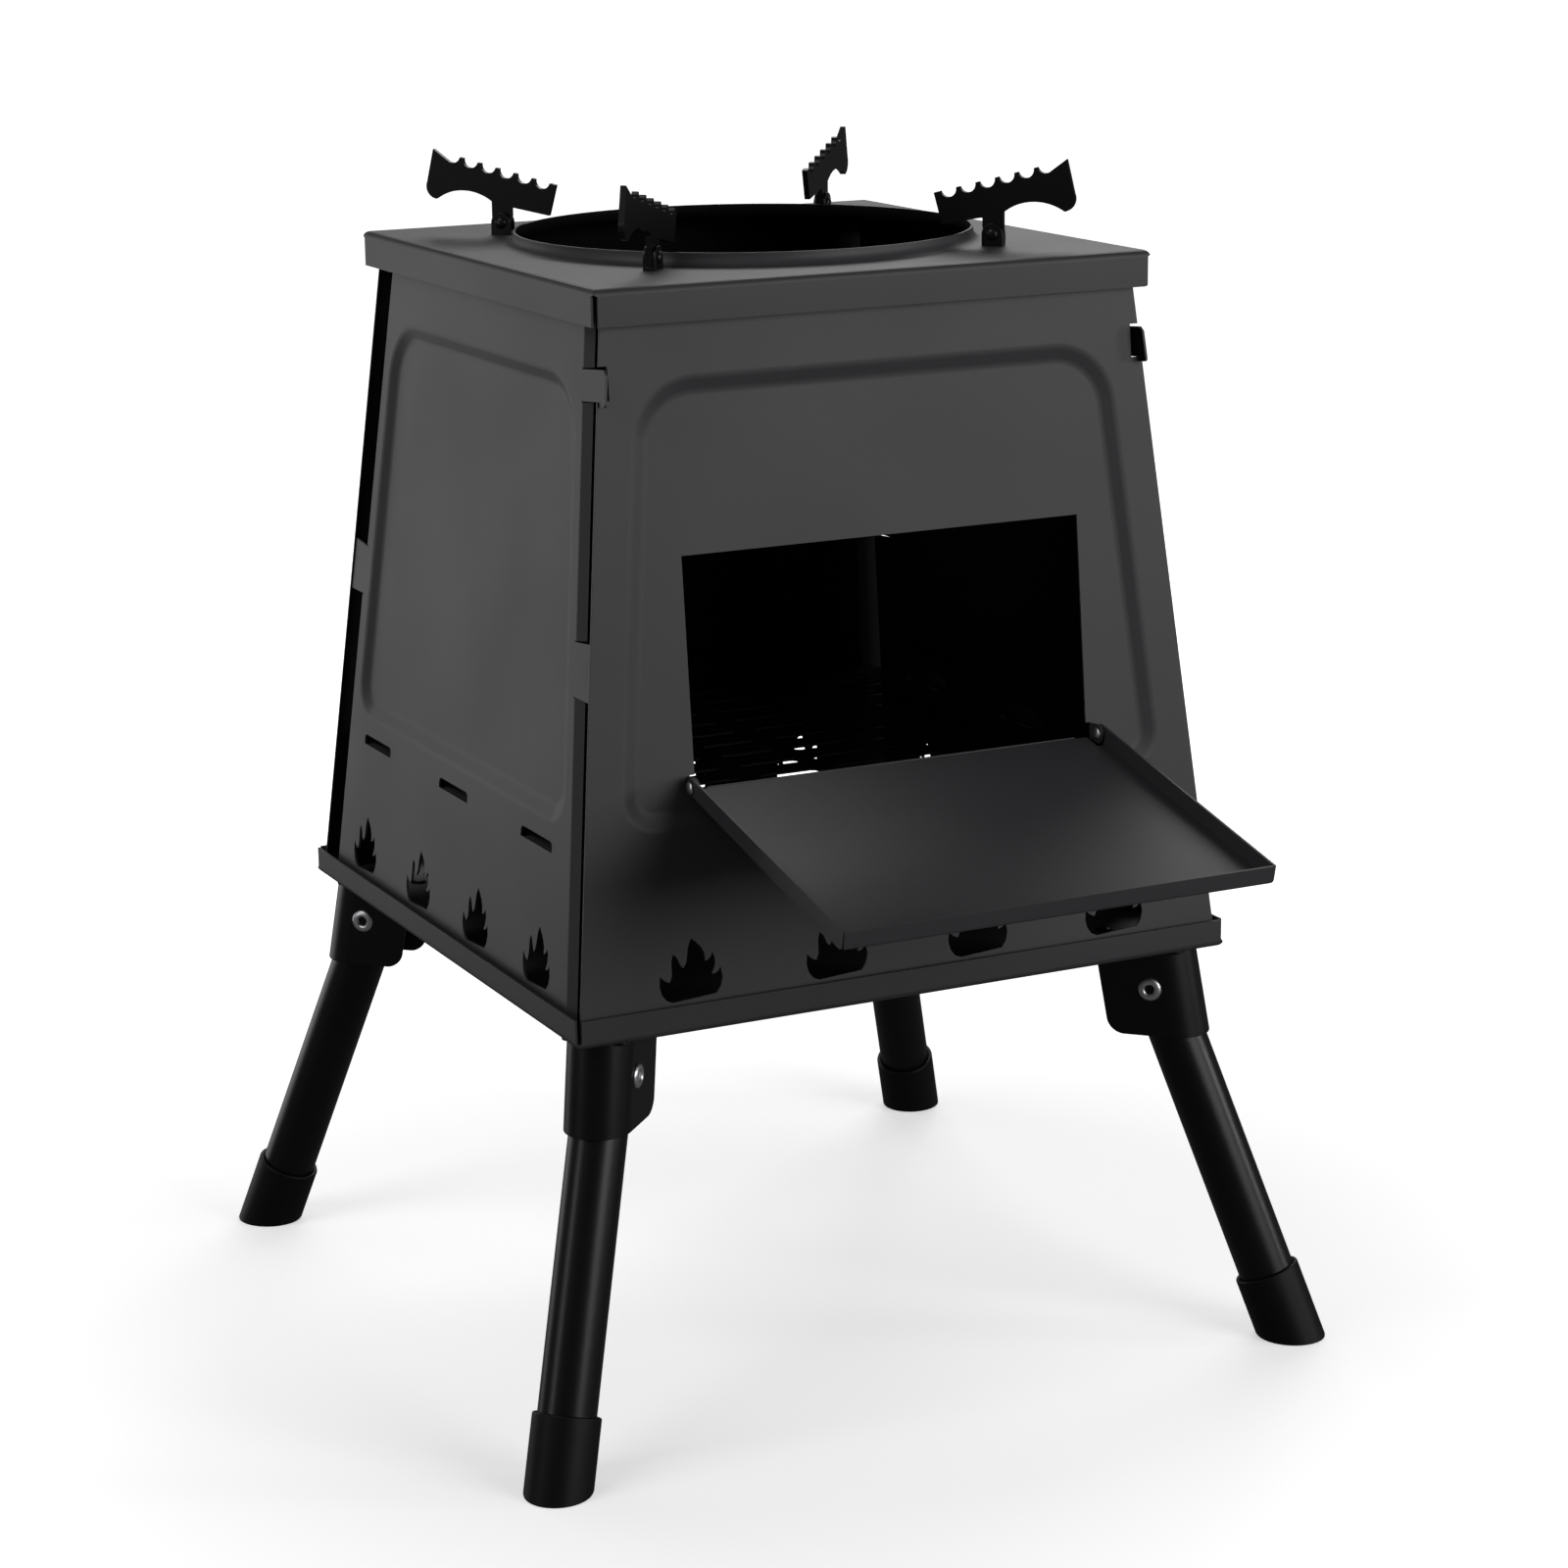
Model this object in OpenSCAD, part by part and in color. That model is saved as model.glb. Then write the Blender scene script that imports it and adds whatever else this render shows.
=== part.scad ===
// Folding camp wood stove: a square fire tower of four pressed sheet walls between a base tray
// and a lid, on four splayed folding legs, with a fold down door and four toothed pot supports.
// Millimetres, +Z up. The origin is on the ground, under the centre of the tower. The door
// faces -Y. "Left" and "right" are as seen from the front of the stove.

/* [Base tray] */
// Outer width of the square tray
base_w = 300; // [290:1:310]
// Height of the tray's underside above the ground
base_z = 173; // [170:1:178]
// Height of the tray's upstanding rim
rim_h = 12; // [9:1:13]
// Thickness of the sheet steel of tray, walls, lid, grate and door
sheet = 1.0; // [0.8:0.1:1.2]
// Bend radius of the sheet on its outer side
bend_r = 3; // [2:0.5:4]

/* [Walls] */
// Lean of every wall from the vertical, in degrees
lean = 5.67; // [5.4:0.01:5.9]
// Gap between the tray's rim and the foot of a wall
foot_gap = 1.9; // [1.5:0.1:2.5]
// How far the front and back walls reach past the side walls' faces
wall_lap = 0.6; // [0.3:0.1:0.9]
// How far the side walls' edges stop short of the front and back faces
side_inset = 7; // [6:0.5:9]
// Width of the lip along the side walls' upright edges
lip_w = 9; // [7:1:10]
// Angle that this lip is turned in by, in degrees
lip_turn = 22; // [15:1:30]
// Height of the upper edge of the walls above the ground
wall_top = 466.7; // [466.5:0.1:466.9]

/* [Pressed panels] */
// Lower edge of the pressed panel above the ground
press_lo = 255; // [252:1:258]
// Upper edge of the pressed panel above the ground
press_hi = 431; // [426:1:436]
// Distance from the wall's edge to the pressed panel
press_inset = 16; // [14:1:18]
// Depth of the pressing
press_depth = 2.5; // [1.5:0.1:3]
// Width of the sloping step round the pressed panel
press_step = 6; // [4:0.5:7]
// Corner radius of the panel at the top
press_r_top = 27; // [20:1:30]
// Corner radius of the panel at the bottom
press_r_low = 14; // [10:1:16]

/* [Air vents and grate] */
// Width of one flame shaped vent
flame_w = 28; // [24:1:30]
// Height of one flame shaped vent
flame_h = 25; // [20:1:26]
// Height of the vents' middle above the ground
flame_z = 198; // [197:1:200]
// Distance from one vent to the next
flame_pitch = 65.4; // [60:0.2:68]
// Width of a lanced ledge in the side walls, which carries the grate
ledge_w = 32; // [26:1:36]
// Reach of a ledge into the stove
ledge_d = 14; // [12:1:16]
// Height of the ledges above the ground
ledge_z = 242; // [240:1:244]
// Distance from one ledge to the next
ledge_pitch = 90; // [80:1:95]
// Half size of the grate from side to side, and from front to back
grate_half = [131, 134];
// Slots in the grate, across and deep
grate_slots = [7, 13];

/* [Door] */
// Height on the wall of the two ears that hold the door's hinge rivets
hinge_low = 270.7; // [270:0.1:272]
// Width of the door opening
opening_w = 180; // [170:1:180]
// Lower and upper edge of the opening above the ground
opening_z = [269.5, 361.5];
// Length of the door from its hinge to its front edge
door_len = 133; // [110:1:136]
// Outer width of the door
door_w = 189; // [188:0.5:190]
// Height of the door's turned up edges
door_rim = 8; // [7:0.5:8.5]
// Drop of the open door below the level, in degrees
door_drop = 12.7; // [10:0.1:16]
// Radius of the two hinge rivets
hinge_r = 2; // [1.5:0.1:2.2]

/* [Lid] */
// Outer width of the square lid
lid_w = 250; // [248:1:254]
// Height of the lid's top above the ground
lid_z = 468; // [468:1:470]
// Height of the lid's turned down rim
lid_rim = 15; // [12:1:18]
// Inner diameter of the fire hole
hole_d = 193; // [180:1:195]
// Height of the drawn collar round the fire hole
collar_h = 5.5; // [4:0.5:6.5]

/* [Pot supports] */
// Distance of a support's stem from the centre of the lid
support_r = 110; // [109:0.5:112]
// Thickness of a support
support_t = 2.5; // [2:0.1:3]
// Distance from one tooth to the next
tooth_pitch = 8.3; // [7.5:0.1:8.6]
// Slope of the toothed edge, in degrees
tooth_slope = 14.2; // [12:0.1:16]
// Width of the stem
stem_w = 9; // [8:0.5:10]
// Height of the pivot rivet above the lid
pivot_h = 5; // [4.5:0.5:6]

/* [Legs] */
// Diameter of the leg tube
tube_d = 24; // [22:0.5:24]
// Wall thickness of the leg tube
tube_wall = 1.2; // [1:0.1:2]
// Lean of a leg from the vertical, in degrees
splay = 21.5; // [20:0.5:22]
// Distance of the leg's pivot from the centre line of the stove
pin_r = 183.5; // [182:0.5:184.5]
// Depth of the leg's pivot below the tray
pin_drop = 17.5; // [17:0.5:19]
// Radius of the leg's hollow pivot rivet
pin_rad = 3; // [2.5:0.1:3.5]
// Diameter of the foot cap
cap_d = 28; // [26:0.5:29]
// Length of the foot cap
cap_len = 31; // [25:1:40]
// Tilt of the leg bracket's channel, in degrees
channel_tilt = 10; // [9:0.5:11]

/* [Hidden] */
$fn = 48;
// Small overlap that lets neighbouring shapes of one piece join, and cuts run clear
lap = 0.01;
clear = 1;
// Running clearance of a rivet in the piece that turns on it
run_gap = 0.06;
// Air left between faces that move past each other
air = 0.3;
// Directions of the four corners, from the front left one on
corner_angles = [225, 315, 45, 135];

coat = [0.16, 0.16, 0.165];
dark_coat = [0.06, 0.06, 0.065];
rubber = [0.04, 0.04, 0.04];
bright = [0.85, 0.85, 0.87];

floor_z = base_z + sheet;
// Half distance between opposite walls' outer faces, at the tray's floor and at any height
wall_half_low = base_w/2 - sheet - foot_gap;
function wall_half(z) = wall_half_low - (z - floor_z)*tan(lean);
// Distance up the face of a wall to the height z
function up(z) = (z - floor_z)/cos(lean);
// Half width of the front and back walls, and of the side walls, that far up the face
function face_half(v) = wall_half_low + wall_lap - v*sin(lean);
function side_half(v) = wall_half_low - side_inset - v*sin(lean);
// Tilt of a wall's side edge within its own face
edge_tilt = atan(sin(lean));

// A square pan of thin sheet with rounded bends and open corner seams, rim upwards
module pan_profile(w, h, r) {
    translate([-w/2, r]) square([w, h - r]);
    translate([-w/2 + r, 0]) square([w - 2*r, r + lap]);
    for (s = [-1, 1]) translate([s*(w/2 - r), r]) circle(r);
}
module pan_solid(w, h, r) {
    intersection() {
        rotate([90, 0, 0]) linear_extrude(w, center = true) pan_profile(w, h, r);
        rotate([90, 0, 90]) linear_extrude(w, center = true) pan_profile(w, h, r);
    }
}
seam = 2.8;
module pan(w, h, r) {
    difference() {
        pan_solid(w, h, r);
        translate([0, 0, sheet]) pan_solid(w - 2*sheet, h, r - sheet);
        for (a = corner_angles)
            rotate([0, 0, a])
                translate([w/sqrt(2) - 3*r, -seam/2, r + 0.8])
                    cube([6*r, seam, h]);
    }
}

// Base tray: its floor catches the ash and its rim holds the feet of the walls
fix_r = 2;
fix_in = 25.5;
fix_apart = 7;
module at_fixings() {
    for (s = [-1, 1])
        translate([pin_r - fix_in, s*fix_apart, base_z]) children();
}
module base_tray() {
    color(coat) difference() {
        translate([0, 0, base_z]) pan(base_w, rim_h, bend_r);
        for (a = corner_angles)
            rotate([0, 0, a]) at_fixings() cylinder(h = 4*sheet, r = fix_r, center = true);
    }
}

// A flame: its outline runs from tongue to tongue in curves, in a box one wide and one high
function curve(p, q, r, s, n = 4) =
    [for (i = [0:n - 1]) let (t = i/n, u = 1 - t) u*u*u*p + 3*u*u*t*q + 3*u*t*t*r + t*t*t*s];
flame = concat(
    curve([-0.30, 0.00], [-0.44, 0.02], [-0.53, 0.22], [-0.48, 0.45]),
    curve([-0.48, 0.45], [-0.43, 0.38], [-0.38, 0.34], [-0.33, 0.33]),
    curve([-0.33, 0.33], [-0.24, 0.46], [-0.33, 0.62], [-0.26, 0.78]),
    curve([-0.26, 0.78], [-0.16, 0.72], [-0.19, 0.60], [-0.11, 0.53]),
    curve([-0.11, 0.53], [0.00, 0.62], [-0.07, 0.84], [0.04, 1.00]),
    curve([0.04, 1.00], [0.13, 0.90], [0.27, 0.80], [0.24, 0.60]),
    curve([0.24, 0.60], [0.29, 0.61], [0.34, 0.65], [0.36, 0.72]),
    curve([0.36, 0.72], [0.42, 0.61], [0.40, 0.47], [0.33, 0.37]),
    curve([0.33, 0.37], [0.39, 0.36], [0.45, 0.40], [0.47, 0.47]),
    curve([0.47, 0.47], [0.55, 0.26], [0.45, 0.02], [0.28, 0.00]));
module flame_vents() {
    for (i = [-1.5:1:1.5])
        translate([i*flame_pitch, up(flame_z) - flame_h/2, -2*sheet])
            linear_extrude(4*sheet)
                polygon([for (p = flame) [p[0]*flame_w, p[1]*flame_h]]);
}

// The pressed panel follows the wall's edges: x, y and radius of its four corners
function press_corner(z, r, half, toward) =
    let (v = up(z) + toward*r) [half(v) - press_inset - r, v, r];
module pressing(half, z0) {
    low = press_corner(press_lo, press_r_low, half, 1);
    top = press_corner(press_hi, press_r_top, half, -1);
    hull()
        for (c = [low, top])
            for (s = [-1, 1]) {
                translate([s*c[0], c[1], z0]) cylinder(r = c[2], h = lap, $fn = 48);
                translate([s*c[0], c[1], z0 - press_depth]) cylinder(r = c[2] - press_step, h = lap, $fn = 48);
            }
}

// A wall lies flat while it is made: x along it, y up its face, z outwards. Then it is
// stood at its side of the tray, leaning inwards, and cut level at foot and top.
module stand_wall(a) {
    intersection() {
        rotate([0, 0, a])
            translate([0, -wall_half_low, floor_z])
                rotate([90 - lean, 0, 0])
                    children();
        translate([-base_w/2, -base_w/2, floor_z]) cube([base_w, base_w, wall_top - floor_z]);
    }
}
wall_v = [-clear, up(wall_top) + clear];
module wall_outline(half, less = 0) {
    polygon([for (v = wall_v) [-half(v) + less, v], for (v = [wall_v[1], wall_v[0]]) [half(v) - less, v]]);
}
module pressed_sheet(half, less = 0) {
    difference() {
        union() {
            translate([0, 0, -sheet]) linear_extrude(sheet) wall_outline(half, less);
            pressing(half, -sheet);
        }
        pressing(half, 0);
        flame_vents();
    }
}

// Notches in the front wall's edges, which the side walls' hooks reach through
notch_z = [424, 437.5];
notch_d = 5;
module edge_notches() {
    for (s = [-1, 1])
        translate([s*face_half(up(notch_z[0])) - notch_d, up(notch_z[0]), -2*sheet])
            cube([2*notch_d, up(notch_z[1]) - up(notch_z[0]), 4*sheet]);
}

// The door's hinge: two ears are bent out of the front wall below the opening's corners.
// The pin lies this far up the wall and this far in front of its flat border.
hinge_v = up(hinge_low);
hinge_out = 3;
hinge_y = -wall_half_low + hinge_v*sin(lean) - hinge_out*cos(lean);
hinge_z = floor_z + hinge_v*cos(lean) + hinge_out*sin(lean);
ear_r = 4;
ear_x = door_w/2 - 2*sheet - 0.4;
relief_w = 7.5;
relief_h = 8;
module ear() {
    translate([ear_x, 0, 0])
        rotate([90, 0, 90])
            linear_extrude(sheet)
                difference() {
                    union() {
                        translate([hinge_v - ear_r, -press_depth - sheet/2]) square([2*ear_r, hinge_out + press_depth + sheet/2]);
                        translate([hinge_v, hinge_out]) circle(ear_r);
                    }
                    translate([hinge_v, hinge_out]) circle(hinge_r);
                }
}
module front_wall() {
    color(coat) stand_wall(0) {
        difference() {
            pressed_sheet(function(v) face_half(v));
            translate([-opening_w/2, up(opening_z[0]), -10])
                cube([opening_w, up(opening_z[1]) - up(opening_z[0]), 20]);
            for (s = [-1, 1])
                translate([s*(ear_x - relief_w/2) - relief_w/2, hinge_v - relief_h/2 + 0.3, -10])
                    cube([relief_w, relief_h, 20]);
            edge_notches();
        }
        for (m = [0, 1]) mirror([m, 0, 0]) ear();
    }
}
module back_wall() {
    color(coat) stand_wall(180) pressed_sheet(function(v) face_half(v));
}

// Side walls: a lip along each upright edge is turned in, and tabs cross the gap to the front and back
// walls. A hook near the top of the front edge reaches through the front wall's notch.
tab_z = [308, 331];
hook_z = [424.6, 437];
hook_out = 5.5;
barb = 2;
tab_reach = side_inset - sheet - 0.1;
// Section through a side wall's edge: a strip of the flat wall, the bend and the lip
edge_flat = 4;
module lip_outline(r, over = 0) {
    deep = bend_r + 0.2 + over;
    translate([-edge_flat - over, -deep]) square([edge_flat + over, deep + r]);
    rotate(-lip_turn) translate([0, -deep]) square([lip_w + over, deep + r]);
    circle(r);
}
module lip_profile() {
    translate([-lip_w, -bend_r])
        difference() {
            lip_outline(bend_r);
            lip_outline(bend_r - sheet, clear);
        }
}
module along_edge(s) {
    mirror([s < 0 ? 1 : 0, 0, 0])
        translate([side_half(0), 0, 0])
            rotate([0, 0, edge_tilt])
                children();
}
module edge_window(z, d) {
    translate([-lip_w - clear/2, up(z[0]) - clear/2, -lip_w - clear])
        cube([2*lip_w, up(z[1]) - up(z[0]) + clear, lip_w + 2*clear]);
}
// The slit that a ledge is bent out of is a little wider than the ledge, and starts just
// above it
slit_h = 4.4;
slit_side = 1.2;
slit_rise = 0.2;
module side_wall(a, front) {
    color(coat) {
        stand_wall(a) {
            difference() {
                pressed_sheet(function(v) side_half(v), lip_w + 2*clear);
                for (i = [-1:1]) ledge_cut(i);
            }
            for (s = [-1, 1]) along_edge(s) {
                difference() {
                    translate([0, up(wall_top) + clear, 0])
                        rotate([90, 0, 0])
                            linear_extrude(up(wall_top) + 2*clear)
                                lip_profile();
                    edge_window(tab_z);
                    if (s == front) edge_window(hook_z);
                }
                translate([-lip_w - clear, up(tab_z[0]), -sheet])
                    cube([lip_w + clear + tab_reach, up(tab_z[1]) - up(tab_z[0]), sheet]);
                if (s == front) hook();
            }
        }
        for (i = [-1:1])
            rotate([0, 0, a])
                translate([i*ledge_pitch - ledge_w/2 + slit_side, -wall_half(ledge_z) + sheet/2, ledge_z - sheet])
                    cube([ledge_w - 2*slit_side, ledge_d, sheet]);
    }
}
module ledge_cut(i) {
    round = slit_h/2;
    translate([i*ledge_pitch, up(ledge_z) + slit_rise, -2*sheet])
        linear_extrude(4*sheet) {
            translate([-ledge_w/2, 0]) square([ledge_w, round]);
            translate([-ledge_w/2 + round, 0]) square([ledge_w - 2*round, slit_h]);
            for (s = [-1, 1]) translate([s*(ledge_w/2 - round), round]) circle(round);
        }
}
module hook() {
    low = up(hook_z[0]);
    high = up(hook_z[1]);
    tip = side_inset + hook_out;
    translate([0, 0, -sheet])
        linear_extrude(sheet)
            polygon([[-lip_w - clear, low], [side_inset + 0.2, low], [side_inset + 0.2, low - barb],
                [tip - 1, low - barb], [tip, low - barb + 1], [tip, high - 2], [tip - 2, high], [-lip_w - clear, high]]);
}
module left_wall() side_wall(-90, 1);
module right_wall() side_wall(90, -1);

// Grate: a slotted plate that lies on the side walls' ledges
grate_slot = [28, 6.5];
module grate() {
    slots = grate_slots;
    step = [2*(grate_half[0] - 8)/slots[0], 2*(grate_half[1] - 8)/slots[1]];
    run = grate_slot[0] - grate_slot[1];
    color(dark_coat)
        translate([0, 0, ledge_z])
            linear_extrude(sheet)
                difference() {
                    square(2*grate_half, center = true);
                    for (i = [0:slots[0] - 1])
                        for (j = [0:slots[1] - 1])
                            translate([(i - (slots[0] - 1)/2)*step[0], (j - (slots[1] - 1)/2)*step[1]]) {
                                square([run, grate_slot[1]], center = true);
                                for (s = [-1, 1]) translate([s*run/2, 0]) circle(grate_slot[1]/2);
                            }
                }
}

// Door: a shallow pan with three turned up edges. It is drawn level with its hinge axis on
// the x axis, and hangs open with its rear edge against the wall.
door_floor = -4;
door_back = 4;
// Width of the slots in its floor that clear the ears and the rivets' inner heads
door_slot = 3.8;
module door() {
    half = door_w/2;
    color(coat)
        translate([0, hinge_y, hinge_z])
            rotate([door_drop, 0, 0])
                difference() {
                    union() {
                        translate([-half, -door_len, door_floor]) cube([door_w, door_len + door_back, sheet]);
                        translate([-half, -door_len, door_floor]) cube([door_w, sheet, door_rim]);
                        for (s = [0, 1])
                            mirror([s, 0, 0])
                                translate([half - sheet, 0, 0])
                                    rotate([90, 0, 90])
                                        linear_extrude(sheet)
                                            door_side();
                    }
                    for (s = [-1, 1]) {
                        translate([s*(half - sheet - door_slot/2) - door_slot/2, -5, door_floor - clear])
                            cube([door_slot, 5 + door_back + clear, 2]);
                        translate([s*half, -door_len, door_floor + sheet])
                            rotate([0, 0, s*45])
                                cube([0.8, 6*sheet, 2*door_rim], center = true);
                    }
                    rotate([0, 90, 0]) cylinder(h = door_w + 2, r = hinge_r + run_gap, center = true);
                }
}
// Side of the door, hinge axis at the origin, front to the left
door_lug = door_floor + door_rim;
module door_side() {
    translate([-door_len, door_floor]) square([door_len - 5, door_rim]);
    translate([-5.1, door_floor]) square([5.1, door_lug - door_floor]);
    difference() {
        circle(door_lug);
        translate([-10, -10]) square([20, 10 + door_floor]);
    }
}

// A domed rivet along z: head below its seat at zero, shank up to the grip, formed head above
module rivet(r, grip, head_r, head_h, bore = 0) {
    rotate_extrude() difference() {
        union() {
            square([r, grip]);
            translate([0, -head_h]) rivet_head(head_r, head_h);
            translate([0, grip + head_h]) mirror([0, 1]) rivet_head(head_r, head_h);
        }
        translate([-head_r, -2*head_h]) square([head_r + bore, grip + 4*head_h]);
    }
}
// Half outline of a head that is flat at its seat, with a rounded rim
module rivet_head(r, h) {
    edge = h*0.7;
    translate([0, edge]) square([r, h - edge]);
    square([r - edge, h]);
    intersection() {
        translate([r - edge, edge]) circle(edge);
        square([r, h]);
    }
}
module door_rivets() {
    color(bright)
        for (m = [0, 1])
            mirror([m, 0, 0])
                translate([ear_x, hinge_y, hinge_z])
                    rotate([0, 90, 0])
                        rivet(hinge_r, door_w/2 - ear_x + air, 2.8, 1.2);
}

// Lid: a pan with its rim down. Round the fire hole the sheet is drawn up to a collar, in a
// bend of this radius on its outer side.
fillet = 4.3;
module collar_section() {
    hole_r = hole_d/2;
    bend_at = hole_r + sheet + fillet;
    translate([hole_r, fillet]) square([sheet, collar_h - fillet]);
    translate([bend_at, -sheet]) square([2*clear, sheet]);
    intersection() {
        translate([hole_r - clear, -sheet - clear]) square([bend_at - hole_r + clear, fillet + sheet + clear]);
        translate([bend_at, fillet])
            difference() {
                circle(fillet + sheet);
                circle(fillet);
            }
    }
}
module lid() {
    color(coat) {
        difference() {
            translate([0, 0, lid_z]) rotate([180, 0, 0]) pan(lid_w, lid_rim, bend_r);
            translate([0, 0, lid_z - 2*sheet]) cylinder(h = 4*sheet, r = hole_d/2 + sheet + fillet + clear, $fn = 96);
        }
        translate([0, 0, lid_z]) rotate_extrude($fn = 96) collar_section();
    }
}

// Turns a piece that is drawn outwards along x to one of the four corners
module at_corner(k) rotate([0, 0, corner_angles[k]]) children();

// Pot support: a stamped plate. Seven teeth carry the pot, and a stem with a square heel
// on its outer side stands in the bracket. It is drawn with its stem's middle at x 0.
valley_r = 3.5;
first_valley = -19.3;
tip_low = [-25.5, 21.5];
function tip(x) = tip_low[1] + (x - tip_low[0])*tan(tooth_slope);
heel = 1.5;
module support_outline() {
    difference() {
        union() {
            polygon([tip_low, [-22, 8.4], [-5.5, 11.5], [4, 11.5], [29.5, 16], [34.6, 22], [31.3, 36.2],
                [24.6, 31.2], [20, tip(20)]]);
            translate([29.6, 20]) circle(5.4);
            translate([-stem_w/2, pivot_h + 3]) square([stem_w, 12]);
            polygon([[-stem_w/2, pivot_h + 3], [heel - pivot_h, pivot_h], [heel - pivot_h + 0.6, heel + 1.4],
                [-1.2, heel], [stem_w/2, heel], [stem_w/2, pivot_h + 3]]);
        }
        for (i = [0:5])
            translate([first_valley + i*tooth_pitch, tip(first_valley + i*tooth_pitch) + 0.2]) circle(valley_r);
        intersection() {
            translate([18, -4.2]) circle(22.7);
            translate([stem_w/2, 0]) square([40, 30]);
        }
        translate([0, pivot_h]) circle(pivot_r + 0.05);
    }
}
pivot_r = 1.5;
module pot_support(k) {
    color(dark_coat)
        at_corner(k)
            translate([support_r, 0, lid_z])
                rotate([90, 0, 0])
                    linear_extrude(support_t, center = true)
                        support_outline();
}
module pot_support_front_left() pot_support(0);
module pot_support_front_right() pot_support(1);
module pot_support_back_right() pot_support(2);
module pot_support_back_left() pot_support(3);

// Its bracket: a small channel, welded on the lid, whose two ears hold the pivot rivet
channel_t = 1.2;
channel_w = support_t + 2*air + 2*channel_t;
module support_bracket(k) {
    color(dark_coat)
        at_corner(k)
            translate([support_r, 0, lid_z])
                difference() {
                    rotate([90, 0, 0])
                        linear_extrude(channel_w, center = true) {
                            translate([-stem_w/2, 0]) square([stem_w, pivot_h]);
                            translate([0, pivot_h]) circle(stem_w/2);
                        }
                    translate([-stem_w, -support_t/2 - air, channel_t])
                        cube([2*stem_w, support_t + 2*air, 20]);
                    translate([0, 0, pivot_h])
                        rotate([90, 0, 0])
                            cylinder(h = 20, r = pivot_r, center = true);
                }
}
module support_bracket_front_left() support_bracket(0);
module support_bracket_front_right() support_bracket(1);
module support_bracket_back_right() support_bracket(2);
module support_bracket_back_left() support_bracket(3);
module support_rivets() {
    color(dark_coat)
        for (k = [0:3])
            at_corner(k)
                translate([support_r, channel_w/2, lid_z + pivot_h])
                    rotate([90, 0, 0])
                        rivet(pivot_r, channel_w, 2.6, 1.2);
}

// Leg bracket: a channel with a half round web outside and two ears, tilted outwards, under
// a flange that is riveted to the tray. Its web's lower lip stops the leg.
pin_z = base_z - pin_drop;
channel_in = tube_d/2 + 0.6;
bracket_t = 1.4;
channel_out = channel_in + bracket_t;
ear_reach = 21;
lip_z = -21;
// Offset of the web, so that its lower lip just clears the splayed tube
web_in = (-lip_z/cos(channel_tilt)*tan(splay - channel_tilt) + tube_d/2/cos(splay - channel_tilt) + air)
    /(1 - tan(channel_tilt)*tan(splay - channel_tilt));
web_off = web_in - channel_in;
ear_round = 7;
module channel_profile(r, reach) {
    translate([web_off, 0]) circle(r);
    translate([-reach, -r]) square([reach + web_off, 2*r]);
}
// What is kept of the tilted channel, seen from the side: level above and below, and
// rounded where the ears' inner edges meet their lower edges
module bracket_side() {
    low_in = -ear_reach/cos(channel_tilt) - (lip_z + ear_round)*tan(channel_tilt);
    translate([-3*ear_reach, lip_z + ear_round])
        square([6*ear_reach, pin_drop - bracket_t/2 - lip_z - ear_round]);
    translate([low_in + ear_round, lip_z]) square([3*ear_reach, ear_round + lap]);
    translate([low_in + ear_round, lip_z + ear_round]) circle(ear_round);
}
module leg_bracket(k) {
    color(dark_coat)
        at_corner(k)
            difference() {
                union() {
                    translate([pin_r, 0, pin_z])
                        intersection() {
                            rotate([0, -channel_tilt, 0])
                                linear_extrude(100, center = true)
                                    difference() {
                                        channel_profile(channel_out, ear_reach);
                                        channel_profile(channel_in, ear_reach + clear);
                                    }
                            rotate([90, 0, 0]) linear_extrude(100, center = true) bracket_side();
                        }
                    translate([pin_r - ear_reach - 10, -channel_out, base_z - bracket_t])
                        cube([ear_reach + 23, 2*channel_out, bracket_t]);
                }
                translate([pin_r, 0, pin_z]) rotate([90, 0, 0]) cylinder(h = 60, r = pin_rad, center = true);
                at_fixings() cylinder(h = 4*bracket_t, r = fix_r, center = true);
            }
}
module leg_bracket_front_left() leg_bracket(0);
module leg_bracket_front_right() leg_bracket(1);
module leg_bracket_back_right() leg_bracket(2);
module leg_bracket_back_left() leg_bracket(3);
module bracket_rivets() {
    color(dark_coat)
        for (k = [0:3])
            at_corner(k)
                at_fixings()
                    translate([0, 0, -bracket_t]) rivet(fix_r, bracket_t + sheet, 3.5, 1.2);
}
module leg_rivets() {
    color(bright)
        for (k = [0:3])
            at_corner(k)
                translate([pin_r, channel_out, pin_z])
                    rotate([90, 0, 0])
                        rivet(pin_rad, 2*channel_out, 5.2, 1.4, 1.7);
}

// Leg: a straight tube that turns on the hollow rivet, with its foot end inside the cap
tube_above = 8;
leg_len = pin_z/cos(splay);
cap_floor = 3.5;
module splayed(k) {
    at_corner(k) translate([pin_r, 0, pin_z]) rotate([0, -splay, 0]) children();
}
module leg_tube(k) {
    r = tube_d/2;
    stub = leg_len - cap_floor - r*tan(splay) - 1;
    color(dark_coat)
        splayed(k)
            difference() {
                translate([0, 0, -stub]) cylinder(h = stub + tube_above, r = r);
                translate([0, 0, -stub - clear]) cylinder(h = stub + tube_above + 2*clear, r = r - tube_wall);
                rotate([90, 0, 0]) cylinder(h = 2*tube_d, r = pin_rad + run_gap, center = true);
            }
}
module leg_tube_front_left() leg_tube(0);
module leg_tube_front_right() leg_tube(1);
module leg_tube_back_right() leg_tube(2);
module leg_tube_back_left() leg_tube(3);

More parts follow.
